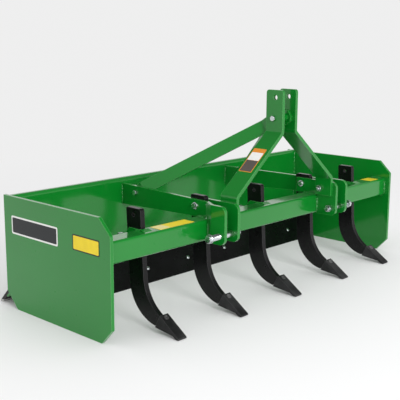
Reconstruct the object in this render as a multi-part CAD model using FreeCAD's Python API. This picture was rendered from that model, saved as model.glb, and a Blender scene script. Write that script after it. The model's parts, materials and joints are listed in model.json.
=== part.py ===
import FreeCAD
import Part
import math
import os

# Box blade for a small tractor. Millimetres, +Z up, floor at z = 0.
# -Y is the front, towards the tractor. X is the working width, left is -X.

# Working width and end plates
WIDTH = 1676.0
PLATE_T = 12.0
PLATE_H = 418.0
PLATE_FRONT = -272.0
PLATE_REAR = 314.0
PLATE_TOP_CUT_Y = 56.0
PLATE_TOP_CUT_Z = 53.0
PLATE_TOE_CUT_Y = 51.0
PLATE_TOE_CUT_Z = 54.0
PLATE_HEEL_CUT_Y = 61.0
PLATE_HEEL_CUT_Z = 62.0
PLATE_CORNER_R = 6.0
INNER_X = WIDTH / 2 - PLATE_T

# Cutting edges, flat bars that lean away from each other like a tent
EDGE_T = 12.7
FRONT_EDGE_Y = 146.0
FRONT_EDGE_ANGLE = 50.0
FRONT_EDGE_WIDTH = 164.0
REAR_EDGE_Y = 386.0
REAR_EDGE_ANGLE = 46.0
REAR_EDGE_WIDTH = 152.0
CARRIER_T = 8.0

# Moldboard, one bent sheet: top flange, upright wall, skirt behind the front
# edge. Its wall stands MB_CLEAR behind the upper end of the front edge.
MB_T = 8.0
MB_CLEAR = 3.0
MB_FLANGE = 24.0
MB_BEND = 6.0
SKIRT_END_Z = 28.0
EDGE_RISE = math.radians(FRONT_EDGE_ANGLE)
SKIRT_Y = FRONT_EDGE_Y + EDGE_T / math.sin(EDGE_RISE)
MB_FACE = SKIRT_Y + FRONT_EDGE_WIDTH * math.cos(EDGE_RISE) + MB_CLEAR

# Tool bar, square tube between the end plates
BAR = 76.0
BAR_WALL = 6.0
BAR_R = 10.0
BAR_FRONT = -246.5
BAR_TOP = 338.0
BAR_BOTTOM = BAR_TOP - BAR
BAR_REAR = BAR_FRONT + BAR

# Ripper shanks. The stem leans rearwards, its front edge is at STEM_FRONT at
# the height STEM_Z, and both edges then curve forwards to the nose.
SHANK_T = 19.0
SHANK_W = 70.0
STEM_LEAN = 3.2
STEM_FRONT = -202.5
STEM_Z = 300.0
SHANK_TOP = 411.0
SHANK_CORNER = 8.0
REAR_CURVE_Z = 155.0
FRONT_CURVE_Z = 180.0
HEEL_Y = -264.0
HEEL_Z = 21.0
NOSE_LEAD = 13.0
NOSE_RISE = 44.0
SHANK_HOLE_R = 7.5
SHANK_HOLE_DROP = 23.0
SHANK_HOLE_BACK = 35.0
SHANK_INSET = 193.0

# Points that clip on the shanks
POINT_W = 38.0
POINT_TIP_Y = -386.0
POINT_TIP_Z = 2.0
POINT_EDGE = 5.0
POINT_LAP = 21.0
POINT_COVER = 15.0
POINT_SOLE = 5.0
POINT_HEEL = 10.0
POINT_CHIN = 29.0
POINT_CHIN_DROP = 10.0
POINT_SLANT = 15.0
TANG_REACH = 54.0
TANG_SLOPE = 0.667

# Pockets that guide the shanks in notches of the bar's rear side
POCKET_PLAY = 0.5
POCKET_T = 6.0
POCKET_LIP = 5.0
POCKET_SLOPE = 26.0
POCKET_REAR_T = 8.0
SET_BOLT_R = 8.0
SET_BOLT_PLAY = 0.3
SET_BOLT_REACH = 22.0
SET_HEAD = 20.0
SET_HEAD_T = 11.0
SET_NUT = 26.0
SET_NUT_T = 13.0

# Hitch arms with outer ears, inner hitch plates and lower hitch pins
ARM_T = 12.0
ARM_REAR_X = 315.0
ARM_BEND_X = 348.0
ARM_BEND_Y = -221.0
EAR_X = 378.0
EAR_BEND_Y = -272.0
EAR_FRONT = -339.0
ARM_TOP = 398.0
ARM_REAR_BOTTOM = 314.0
ARM_LIFT = 2.0
ARM_R = 8.0
EAR_BOTTOM = 260.0
EAR_R = 24.0
INNER_PLATE_X = 296.5
INNER_PLATE_T = 12.0
INNER_PLATE_PLAY = 1.0
INNER_PLATE_REAR = -140.0
PIN_R = 11.0
PIN_Y = -312.0
PIN_Z = 290.0
PIN_REACH = 43.0
PIN_HEAD = 28.0
PIN_HEAD_T = 12.0
PIN_WASHER_R = 17.5
PIN_WASHER_T = 3.5
PIN_NUT = 27.0
PIN_NUT_T = 16.0
PIN_THREAD = 10.0
PIN_STEP = 1.0
CLAMP_BOLT_BACK = 35.0
CLAMP_BOLT_Z = 374.0

# Mast: two bent straps whose upper ears take the top link
STRAP_T = 12.7
STRAP_W = 77.0
STRAP_Y = -283.0
STRAP_R = 8.0
MAST_GAP = 66.0
MAST_TOP = 784.0
MAST_EAR = 156.0
STRAP_FOOT_Z = 342.0
STRAP_KNEE_Z = 420.0
MAST_R = 12.0
LINK_HOLE_R = 9.65
LINK_HOLE_DROP = 28.0
LINK_HOLE_Y = -286.0

# Braces from the mast down to the rear of the arms
BRACE_T = 10.0
BRACE_W = 51.0
BRACE_R = 8.0
BRACE_TOP_Y = -279.0
BRACE_TOP_DROP = 106.0
BRACE_LOW_Y = 186.0
BRACE_LOW_Z = 371.0
BRACE_TOP_FLAT = 62.0
BRACE_LOW_FLAT = 38.0
BRACE_END = 26.0
BRACE_NIP = 13.0

# How far a cutting shape reaches past what it cuts
OVER = 1.0

# Bolts: radius, head across flats, head height
BOLT_R = 6.35
BOLT_AF = 19.0
BOLT_HEAD = 8.0
BOLT_NUT = 11.0
BOLT_THREAD = 5.0
BOLT_WASHER_R = 13.0
BOLT_WASHER_T = 2.5
STRAP_BOLT_Y = -268.0
STRAP_BOLT_Z = 369.5
SPACER_R = 14.0

BRACE_TOP_Z = MAST_TOP - BRACE_TOP_DROP
OUTER_SHANK_X = INNER_X - SHANK_INSET
INNER_SHANK_X = INNER_PLATE_X + INNER_PLATE_T + INNER_PLATE_PLAY + SHANK_T / 2

# shank number, x, kind of pocket: open stands free, closed lies under the arm
SHANKS = [
    (1, -OUTER_SHANK_X, "open"),
    (2, -INNER_SHANK_X, "closed"),
    (3, 0.0, "open"),
    (4, INNER_SHANK_X, "closed"),
    (5, OUTER_SHANK_X, "open"),
]

# name, sign of x
SIDES = [("left", -1.0), ("right", 1.0)]

X_AXIS = FreeCAD.Vector(1, 0, 0)
Y_AXIS = FreeCAD.Vector(0, 1, 0)
Z_AXIS = FreeCAD.Vector(0, 0, 1)


def vec(x, y, z):
    return FreeCAD.Vector(x, y, z)


def rounded_face(corners, place):
    """Closed face from corners (a, b, radius), put in space by place(a, b)."""
    ends = []
    count = len(corners)
    for i in range(count):
        a, b, r = corners[i]
        pa, pb, _ = corners[i - 1]
        na, nb, _ = corners[(i + 1) % count]
        if r <= 0:
            ends.append(((a, b), None, (a, b)))
            continue
        din = math.hypot(pa - a, pb - b)
        dout = math.hypot(na - a, nb - b)
        u = ((pa - a) / din, (pb - b) / din)
        v = ((na - a) / dout, (nb - b) / dout)
        half = math.acos(max(-1.0, min(1.0, u[0] * v[0] + u[1] * v[1]))) / 2
        back = r / math.tan(half)
        mid = (u[0] + v[0], u[1] + v[1])
        size = math.hypot(mid[0], mid[1])
        reach = r / math.sin(half) - r
        start = (a + u[0] * back, b + u[1] * back)
        stop = (a + v[0] * back, b + v[1] * back)
        centre = (a + mid[0] / size * reach, b + mid[1] / size * reach)
        ends.append((start, centre, stop))
    edges = []
    for i in range(count):
        start, centre, stop = ends[i]
        if centre is not None:
            edges.append(Part.Arc(place(*start), place(*centre), place(*stop)).toShape())
        after = ends[(i + 1) % count][0]
        if math.hypot(after[0] - stop[0], after[1] - stop[1]) > 1e-6:
            edges.append(Part.makeLine(place(*stop), place(*after)))
    return Part.Face(Part.Wire(edges))


def plate_yz(corners, x0, x1):
    """Flat plate with its outline in y and z, from x0 to x1."""
    low = min(x0, x1)
    face = rounded_face(corners, lambda a, b: vec(low, a, b))
    return face.extrude(X_AXIS * abs(x1 - x0))


def bar_xz(corners, y0, y1):
    """Bar with its outline in x and z, from y0 to y1."""
    face = rounded_face(corners, lambda a, b: vec(a, y0, b))
    return face.extrude(Y_AXIS * (y1 - y0))


def bar_xy(corners, z0, z1):
    """Bar with its outline in x and y, from z0 to z1."""
    face = rounded_face(corners, lambda a, b: vec(a, b, z0))
    return face.extrude(Z_AXIS * (z1 - z0))


def strip(path, thick, side, bend):
    """Corners of a bent sheet. Path is one face, the other lies thick away on
    the left (side 1) or the right (side -1). Bend is the inner bend radius."""
    count = len(path)
    units = []
    for i in range(count - 1):
        da = path[i + 1][0] - path[i][0]
        db = path[i + 1][1] - path[i][1]
        size = math.hypot(da, db)
        units.append((da / size, db / size))
    near = []
    far = []
    for i in range(count):
        a, b = path[i]
        u = units[max(i - 1, 0)]
        v = units[min(i, count - 2)]
        nu = (-u[1] * side, u[0] * side)
        nv = (-v[1] * side, v[0] * side)
        ma = nu[0] + nv[0]
        mb = nu[1] + nv[1]
        scale = thick * 2 / (ma * ma + mb * mb)
        turn = (u[0] * v[1] - u[1] * v[0]) * side
        inner = 0 < i < count - 1
        near_r = bend if turn < 0 else bend + thick
        far_r = bend + thick if turn < 0 else bend
        near.append((a, b, near_r if inner else 0))
        far.append((a + ma * scale, b + mb * scale, far_r if inner else 0))
    return near + far[::-1]


def rod_x(r, x0, x1, y, z):
    low = min(x0, x1)
    return Part.makeCylinder(r, abs(x1 - x0), vec(low, y, z), X_AXIS)


def rod_y(r, y0, y1, x, z):
    low = min(y0, y1)
    return Part.makeCylinder(r, abs(y1 - y0), vec(x, low, z), Y_AXIS)


def hex_x(across, x0, x1, y, z):
    """Hexagonal head or nut on an axis along x."""
    corner = across / math.sqrt(3)
    low = min(x0, x1)
    points = []
    for i in range(7):
        turn = math.radians(30 + 60 * i)
        points.append(vec(low, y + corner * math.cos(turn), z + corner * math.sin(turn)))
    return Part.Face(Part.makePolygon(points)).extrude(X_AXIS * abs(x1 - x0))


def fuse(shapes):
    whole = shapes[0]
    if len(shapes) > 1:
        whole = shapes[0].fuse(shapes[1:])
    return whole.removeSplitter()


def mirrored(shape):
    return shape.mirror(vec(0, 0, 0), X_AXIS)


def end_plate(sign):
    outline = [
        (PLATE_REAR, PLATE_H, 0),
        (PLATE_FRONT + PLATE_TOP_CUT_Y, PLATE_H, PLATE_CORNER_R),
        (PLATE_FRONT, PLATE_H - PLATE_TOP_CUT_Z, PLATE_CORNER_R),
        (PLATE_FRONT, PLATE_TOE_CUT_Z, PLATE_CORNER_R),
        (PLATE_FRONT + PLATE_TOE_CUT_Y, 0, PLATE_CORNER_R),
        (PLATE_REAR - PLATE_HEEL_CUT_Y, 0, PLATE_CORNER_R),
        (PLATE_REAR, PLATE_HEEL_CUT_Z, PLATE_CORNER_R),
    ]
    return plate_yz(outline, sign * INNER_X, sign * (INNER_X + PLATE_T))


def edge_points(y0, lean, width, way):
    """Outline of a cutting edge. y0 is its ground line, lean the angle from the
    floor, way 1 where it rises rearwards and -1 where it rises forwards."""
    ca = math.cos(math.radians(lean))
    sa = math.sin(math.radians(lean))
    heel = y0 + way * EDGE_T / sa
    return [
        (y0, 0, 0),
        (y0 + way * width * ca, width * sa, 0),
        (heel + way * width * ca, width * sa, 0),
        (heel, 0, 0),
    ]


def square_top(points, lean, way):
    """Move the last two corners so that the bar's top end is square to it."""
    ca = math.cos(math.radians(lean))
    sa = math.sin(math.radians(lean))
    top = points[1]
    under = (top[0] + way * EDGE_T * sa, top[1] - EDGE_T * ca, 0)
    return [points[0], top, under, points[3]]


def front_edge():
    points = edge_points(FRONT_EDGE_Y, FRONT_EDGE_ANGLE, FRONT_EDGE_WIDTH, 1)
    return plate_yz(square_top(points, FRONT_EDGE_ANGLE, 1), -INNER_X, INNER_X)


def rear_edge():
    points = edge_points(REAR_EDGE_Y, REAR_EDGE_ANGLE, REAR_EDGE_WIDTH, -1)
    return plate_yz(square_top(points, REAR_EDGE_ANGLE, -1), -INNER_X, INNER_X)


def moldboard():
    slope = math.tan(EDGE_RISE)
    knee_z = (MB_FACE - SKIRT_Y) * slope
    path = [
        (SKIRT_Y + SKIRT_END_Z / slope, SKIRT_END_Z),
        (MB_FACE, knee_z),
        (MB_FACE, PLATE_H),
        (MB_FACE + MB_FLANGE, PLATE_H),
    ]
    return plate_yz(strip(path, MB_T, -1, MB_BEND), -INNER_X, INNER_X)


def rear_carrier():
    lean = math.radians(REAR_EDGE_ANGLE)
    slope = math.tan(lean)
    top_y = REAR_EDGE_Y - EDGE_T / math.sin(lean)
    low_y = top_y - CARRIER_T / math.sin(lean)
    wall = MB_FACE + MB_T
    points = [
        (wall, (top_y - wall) * slope, 0),
        (top_y - SKIRT_END_Z / slope, SKIRT_END_Z, 0),
        (low_y - SKIRT_END_Z / slope, SKIRT_END_Z, 0),
        (wall, (low_y - wall) * slope, 0),
    ]
    return plate_yz(points, -INNER_X, INNER_X)


def pocket_half():
    return SHANK_T / 2 + POCKET_PLAY


def stem_front(z):
    """Front edge of the leaning stem at the height z."""
    return STEM_FRONT + (z - STEM_Z) * math.tan(math.radians(STEM_LEAN))


def stem_rear(z):
    return stem_front(z) + SHANK_W / math.cos(math.radians(STEM_LEAN))


def tool_bar():
    outer = [
        (BAR_FRONT, BAR_BOTTOM, BAR_R),
        (BAR_FRONT, BAR_TOP, BAR_R),
        (BAR_REAR, BAR_TOP, BAR_R),
        (BAR_REAR, BAR_BOTTOM, BAR_R),
    ]
    w = BAR_WALL
    inner = [
        (BAR_FRONT + w, BAR_BOTTOM + w, BAR_R - w),
        (BAR_FRONT + w, BAR_TOP - w, BAR_R - w),
        (BAR_REAR - w, BAR_TOP - w, BAR_R - w),
        (BAR_REAR - w, BAR_BOTTOM + w, BAR_R - w),
    ]
    tube = plate_yz(outer, -INNER_X, INNER_X).cut(plate_yz(inner, -INNER_X, INNER_X))
    half = pocket_half() + POCKET_T
    low = BAR_BOTTOM - BAR
    high = BAR_TOP + BAR
    notch = [
        (stem_front(low) - POCKET_PLAY, low, 0),
        (stem_front(high) - POCKET_PLAY, high, 0),
        (BAR_REAR + BAR, high, 0),
        (BAR_REAR + BAR, low, 0),
    ]
    for _, x, _ in SHANKS:
        tube = tube.cut(plate_yz(notch, x - half, x + half))
    return tube


def pocket(x, kind):
    """Channel of two cheeks and a rear wall. An open one stands a little proud of
    the bar and holds a nut for its set bolt, a closed one ends below the arm."""
    half = pocket_half()
    behind = POCKET_PLAY + POCKET_REAR_T
    low = BAR_BOTTOM - POCKET_LIP
    top = BAR_TOP + POCKET_LIP
    if kind == "closed":
        top = arm_bottom(stem_rear(BAR_TOP) + behind) - POCKET_PLAY
    knee = top - POCKET_SLOPE
    toe = low + POCKET_SLOPE
    cheek = [
        (stem_front(low) - POCKET_PLAY, low, 0),
        (stem_front(top) - POCKET_PLAY, top, 0),
        (stem_rear(top) + behind - POCKET_SLOPE, top, 0),
        (stem_rear(knee) + behind, knee, 0),
        (stem_rear(toe) + behind, toe, 0),
        (stem_rear(low) + behind - POCKET_SLOPE, low, 0),
    ]
    left = plate_yz(cheek, x - half - POCKET_T, x - half)
    right = plate_yz(cheek, x + half, x + half + POCKET_T)
    wall = [
        (stem_rear(toe) + POCKET_PLAY, toe, 0),
        (stem_rear(knee) + POCKET_PLAY, knee, 0),
        (stem_rear(knee) + behind, knee, 0),
        (stem_rear(toe) + behind, toe, 0),
    ]
    pieces = [left, right, plate_yz(wall, x - half, x + half)]
    if kind == "closed":
        return fuse(pieces)
    mid = (BAR_TOP + BAR_BOTTOM) / 2
    face = stem_rear(mid) + behind
    nut = [
        (stem_rear(mid - SET_NUT / 2) + behind, mid - SET_NUT / 2, 0),
        (stem_rear(mid + SET_NUT / 2) + behind, mid + SET_NUT / 2, 0),
        (face + SET_NUT_T, mid + SET_NUT / 2, 0),
        (face + SET_NUT_T, mid - SET_NUT / 2, 0),
    ]
    pieces.append(plate_yz(nut, x - SET_NUT / 2, x + SET_NUT / 2))
    return fuse(pieces).cut(rod_y(SET_BOLT_R, face - 2 * POCKET_REAR_T, face + 2 * SET_NUT_T, x, mid))


def set_bolt(x):
    """Square-headed bolt that presses on the stem's rear edge."""
    mid = (BAR_TOP + BAR_BOTTOM) / 2
    tip = stem_rear(mid + SET_BOLT_R) + SET_BOLT_PLAY
    end = stem_rear(mid) + POCKET_PLAY + POCKET_REAR_T + SET_NUT_T + SET_BOLT_REACH
    shaft = rod_y(SET_BOLT_R, tip, end, x, mid)
    head = Part.makeBox(SET_HEAD, SET_HEAD_T, SET_HEAD, vec(x - SET_HEAD / 2, end, mid - SET_HEAD / 2))
    return fuse([shaft, head])


def tangent_arc(p0, way, p1):
    """Middle point and end slope of the arc that leaves p0 along way, a unit
    vector, and ends at p1."""
    v = (p1[0] - p0[0], p1[1] - p0[1])
    n = (-way[1], way[0])
    side = v[0] * n[0] + v[1] * n[1]
    radius = (v[0] ** 2 + v[1] ** 2) / (2 * side)
    centre = (p0[0] + n[0] * radius, p0[1] + n[1] * radius)
    u0 = (p0[0] - centre[0], p0[1] - centre[1])
    u1 = (p1[0] - centre[0], p1[1] - centre[1])
    um = (u0[0] + u1[0], u0[1] + u1[1])
    size = math.hypot(um[0], um[1])
    reach = abs(radius) / size
    return (centre[0] + um[0] * reach, centre[1] + um[1] * reach)


def nose():
    return (HEEL_Y - NOSE_LEAD, HEEL_Z + NOSE_RISE)


def point_under(y):
    """Height of the point's sole, from its heel to its chin."""
    share = (HEEL_Y - y) / (HEEL_Y - POINT_TIP_Y - POINT_CHIN)
    return HEEL_Z - share * POINT_CHIN_DROP


def nose_line(y):
    """Height of the tang's top edge."""
    ny, nz = nose()
    return nz + (y - ny) * TANG_SLOPE


def shank(x):
    ny, nz = nose()
    tang_y = ny - TANG_REACH
    heel_y = HEEL_Y - POINT_HEEL
    p = lambda y, z: vec(x - SHANK_T / 2, y, z)
    lean = math.radians(STEM_LEAN)
    down = (-math.sin(lean), -math.cos(lean))
    rear = (stem_rear(REAR_CURVE_Z), REAR_CURVE_Z)
    front = (stem_front(FRONT_CURVE_Z), FRONT_CURVE_Z)
    rear_mid = tangent_arc(rear, down, (HEEL_Y, HEEL_Z))
    front_mid = tangent_arc(front, down, (ny, nz))
    c = SHANK_CORNER
    k = c * (1 - math.sqrt(0.5))
    top_f = stem_front(SHANK_TOP)
    top_r = stem_rear(SHANK_TOP)
    low_f = stem_front(SHANK_TOP - c)
    low_r = stem_rear(SHANK_TOP - c)
    edges = [
        Part.makeLine(p(low_r, SHANK_TOP - c), p(*rear)),
        Part.Arc(p(*rear), p(*rear_mid), p(HEEL_Y, HEEL_Z)).toShape(),
        Part.makeLine(p(HEEL_Y, HEEL_Z), p(heel_y, point_under(heel_y) + POINT_SOLE)),
        Part.makeLine(p(heel_y, point_under(heel_y) + POINT_SOLE),
                      p(tang_y, point_under(tang_y) + POINT_SOLE)),
        Part.makeLine(p(tang_y, point_under(tang_y) + POINT_SOLE), p(tang_y, nose_line(tang_y))),
        Part.makeLine(p(tang_y, nose_line(tang_y)), p(ny, nz)),
        Part.Arc(p(ny, nz), p(*front_mid), p(*front)).toShape(),
        Part.makeLine(p(*front), p(low_f, SHANK_TOP - c)),
        Part.Arc(p(low_f, SHANK_TOP - c), p(top_f + k, SHANK_TOP - k), p(top_f + c, SHANK_TOP)).toShape(),
        Part.makeLine(p(top_f + c, SHANK_TOP), p(top_r - c, SHANK_TOP)),
        Part.Arc(p(top_r - c, SHANK_TOP), p(top_r - k, SHANK_TOP - k), p(low_r, SHANK_TOP - c)).toShape(),
    ]
    blank = Part.Face(Part.Wire(edges)).extrude(X_AXIS * SHANK_T)
    hole_z = SHANK_TOP - SHANK_HOLE_DROP
    hole_y = stem_rear(hole_z) - SHANK_HOLE_BACK
    return blank.cut(rod_x(SHANK_HOLE_R, x - SHANK_T, x + SHANK_T, hole_y, hole_z))


def point(x, blank):
    """Wedge-shaped point with a slot for the shank's tang."""
    back_y = nose()[0] - POINT_LAP
    heel_y = HEEL_Y - POINT_HEEL
    chin_y = POINT_TIP_Y + POINT_CHIN
    outline = [
        (back_y, nose_line(back_y) + POINT_COVER, 0),
        (POINT_TIP_Y, POINT_TIP_Z + POINT_EDGE, 0),
        (POINT_TIP_Y, POINT_TIP_Z, 0),
        (chin_y - POINT_SLANT, POINT_TIP_Z, 0),
        (chin_y, point_under(chin_y), 0),
        (heel_y, point_under(heel_y), 0),
    ]
    wedge = plate_yz(outline, x - POINT_W / 2, x + POINT_W / 2)
    return wedge.cut(blank)


def arm_x(y):
    """Outer face of an arm at y, behind the outward bend."""
    share = (MB_FACE - y) / (MB_FACE - ARM_BEND_Y)
    return ARM_REAR_X + share * (ARM_BEND_X - ARM_REAR_X)


def arm_bottom(y):
    share = (MB_FACE - y) / (MB_FACE - BAR_REAR)
    return ARM_REAR_BOTTOM + share * (BAR_TOP - ARM_LIFT - ARM_REAR_BOTTOM)


def arm():
    """Right arm: splayed flat bar whose front end is the outer hitch ear."""
    path = [
        (ARM_REAR_X, MB_FACE),
        (ARM_BEND_X, ARM_BEND_Y),
        (EAR_X, EAR_BEND_Y),
        (EAR_X, EAR_FRONT),
    ]
    plan = bar_xy(strip(path, ARM_T, -1, ARM_R), EAR_BOTTOM - OVER, ARM_TOP + OVER)
    side = [
        (MB_FACE + OVER, ARM_TOP, 0),
        (EAR_FRONT, ARM_TOP, EAR_R),
        (EAR_FRONT, EAR_BOTTOM, EAR_R),
        (BAR_FRONT, EAR_BOTTOM, 0),
        (BAR_FRONT, BAR_TOP, 0),
        (BAR_REAR, BAR_TOP, 0),
        (BAR_REAR, arm_bottom(BAR_REAR), 0),
        (MB_FACE + OVER, ARM_REAR_BOTTOM, 0),
    ]
    profile = plate_yz(side, ARM_REAR_X - 2 * ARM_T, EAR_X + ARM_T)
    body = plan.common(profile)
    wall = Part.makeBox(4 * ARM_T, 4 * ARM_T, BAR + ARM_TOP, vec(ARM_REAR_X - 3 * ARM_T, MB_FACE, 0))
    body = body.cut(wall)
    return body.cut(rod_x(PIN_R, EAR_X - 2 * ARM_T, EAR_X + ARM_T, PIN_Y, PIN_Z))


def arm_turn():
    """Angle in plan, in degrees, by which the arm splays from the y direction."""
    return math.degrees(math.atan2(ARM_BEND_X - ARM_REAR_X, MB_FACE - ARM_BEND_Y))


def inner_plate():
    """Right inner hitch plate, on top of and in front of the bar. It reaches back
    beside the inner shank, which stands between it and the arm."""
    outline = [
        (INNER_PLATE_REAR, ARM_TOP, 0),
        (EAR_FRONT, ARM_TOP, EAR_R),
        (EAR_FRONT, EAR_BOTTOM, EAR_R),
        (BAR_FRONT, EAR_BOTTOM, 0),
        (BAR_FRONT, BAR_TOP, 0),
        (INNER_PLATE_REAR, BAR_TOP, 0),
    ]
    x0 = INNER_PLATE_X
    x1 = INNER_PLATE_X + INNER_PLATE_T
    body = plate_yz(outline, x0, x1)
    body = body.cut(rod_x(PIN_R, x0 - OVER, x1 + OVER, PIN_Y, PIN_Z))
    return body.cut(rod_x(BOLT_R, x0 - OVER, x1 + OVER, STRAP_BOLT_Y, STRAP_BOLT_Z))


def hitch_pin():
    """Right lower hitch pin, with its outer head and its inner nut."""
    inner = INNER_PLATE_X
    outer = EAR_X + PIN_REACH
    shaft = rod_x(PIN_R, inner, outer, PIN_Y, PIN_Z)
    washer = rod_x(PIN_WASHER_R, outer, outer + PIN_WASHER_T, PIN_Y, PIN_Z)
    head_x = outer + PIN_WASHER_T
    head = hex_x(PIN_HEAD, head_x, head_x + PIN_HEAD_T, PIN_Y, PIN_Z)
    nut = hex_x(PIN_NUT, inner - PIN_NUT_T, inner, PIN_Y, PIN_Z)
    thread = rod_x(PIN_R - PIN_STEP, inner - PIN_NUT_T - PIN_THREAD, inner - PIN_NUT_T, PIN_Y, PIN_Z)
    return fuse([shaft, washer, head, nut, thread])


def mast_strap():
    """Right mast strap, from the top ear down to the inner hitch plate."""
    inner = MAST_GAP / 2
    path = [
        (inner + STRAP_T, MAST_TOP),
        (inner + STRAP_T, MAST_TOP - MAST_EAR),
        (INNER_PLATE_X, STRAP_KNEE_Z),
        (INNER_PLATE_X, STRAP_FOOT_Z),
    ]
    y0 = STRAP_Y - STRAP_W / 2
    y1 = STRAP_Y + STRAP_W / 2
    body = bar_xz(strip(path, STRAP_T, -1, STRAP_R), y0, y1)
    side = [
        (y1, STRAP_FOOT_Z - OVER, 0),
        (y1, MAST_TOP, MAST_R),
        (y0, MAST_TOP, MAST_R),
        (y0, STRAP_FOOT_Z - OVER, 0),
    ]
    body = body.common(plate_yz(side, 0, INNER_PLATE_X + OVER))
    body = body.cut(rod_x(LINK_HOLE_R, 0, MAST_GAP, LINK_HOLE_Y, MAST_TOP - LINK_HOLE_DROP))
    body = body.cut(rod_x(BOLT_R, 0, MAST_GAP, BRACE_TOP_Y, BRACE_TOP_Z))
    return body.cut(rod_x(BOLT_R, INNER_PLATE_X - 3 * STRAP_T, INNER_PLATE_X + OVER,
                          STRAP_BOLT_Y, STRAP_BOLT_Z))


def brace(arm_shape):
    """Right brace. It lies inside the mast ear at the top and inside the arm at
    the rear, with its middle part slanting from one to the other."""
    dy = BRACE_LOW_Y - BRACE_TOP_Y
    dz = BRACE_LOW_Z - BRACE_TOP_Z
    run = math.hypot(dy, dz)
    along = vec(0, dy / run, dz / run)
    across = vec(0, -dz / run, dy / run)
    top = vec(0, BRACE_TOP_Y, BRACE_TOP_Z)
    x_top = MAST_GAP / 2
    x_low = arm_x(BRACE_LOW_Y) - ARM_T / math.cos(math.radians(arm_turn()))
    lean = math.tan(math.radians(arm_turn())) * dy / run
    path = [
        (-BRACE_END, x_top),
        (BRACE_TOP_FLAT, x_top),
        (run - BRACE_LOW_FLAT, x_low + lean * BRACE_LOW_FLAT),
        (run + BRACE_END, x_low - lean * BRACE_END),
    ]
    base = top - across * (BRACE_W / 2)
    face = rounded_face(strip(path, BRACE_T, -1, BRACE_R), lambda a, b: base + along * a + X_AXIS * b)
    body = face.extrude(across * BRACE_W)
    half = BRACE_W / 2
    n = BRACE_NIP
    ends = [
        (-BRACE_END, -half + n), (-BRACE_END, half - n), (-BRACE_END + n, half),
        (run + BRACE_END - n, half), (run + BRACE_END, half - n),
        (run + BRACE_END, -half + n), (run + BRACE_END - n, -half), (-BRACE_END + n, -half),
    ]
    points = [top + along * a + across * b for a, b in ends]
    outline = Part.Face(Part.makePolygon(points + points[:1])).extrude(X_AXIS * 2 * ARM_BEND_X)
    body = body.common(outline)
    body = body.cut(arm_shape)
    return body.cut(rod_x(BOLT_R, 0, MAST_GAP, BRACE_TOP_Y, BRACE_TOP_Z))


def bolt(x_head, x_nut, y, z):
    """Bolt along x, with its head beyond x_head and its nut beyond x_nut."""
    way = 1.0 if x_head > x_nut else -1.0
    end = x_nut - way * (BOLT_NUT + BOLT_THREAD)
    shaft = rod_x(BOLT_R, x_head, end, y, z)
    head = hex_x(BOLT_AF, x_head, x_head + way * BOLT_HEAD, y, z)
    nut = hex_x(BOLT_AF, x_nut, x_nut - way * BOLT_NUT, y, z)
    return fuse([shaft, head, nut])


def square_to_arm(shape, y):
    """Turn what was made along x so that it stands square on the right arm."""
    turned = shape.copy()
    turned.rotate(vec(arm_x(y), y, 0), Z_AXIS, arm_turn())
    return turned


def clamp_bolt(x_seat, x_tip, y, z):
    """Bolt along x that presses with its tip, with a washer under its head."""
    way = 1.0 if x_seat > x_tip else -1.0
    washer = rod_x(BOLT_WASHER_R, x_seat, x_seat + way * BOLT_WASHER_T, y, z)
    under = x_seat + way * BOLT_WASHER_T
    head = hex_x(BOLT_AF, under, under + way * BOLT_HEAD, y, z)
    return fuse([rod_x(BOLT_R, x_tip, under, y, z), washer, head])


def mast_spacer():
    half = MAST_GAP / 2 - BRACE_T
    tube = rod_x(SPACER_R, -half, half, BRACE_TOP_Y, BRACE_TOP_Z)
    return tube.cut(rod_x(BOLT_R, -half, half, BRACE_TOP_Y, BRACE_TOP_Z))


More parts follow.
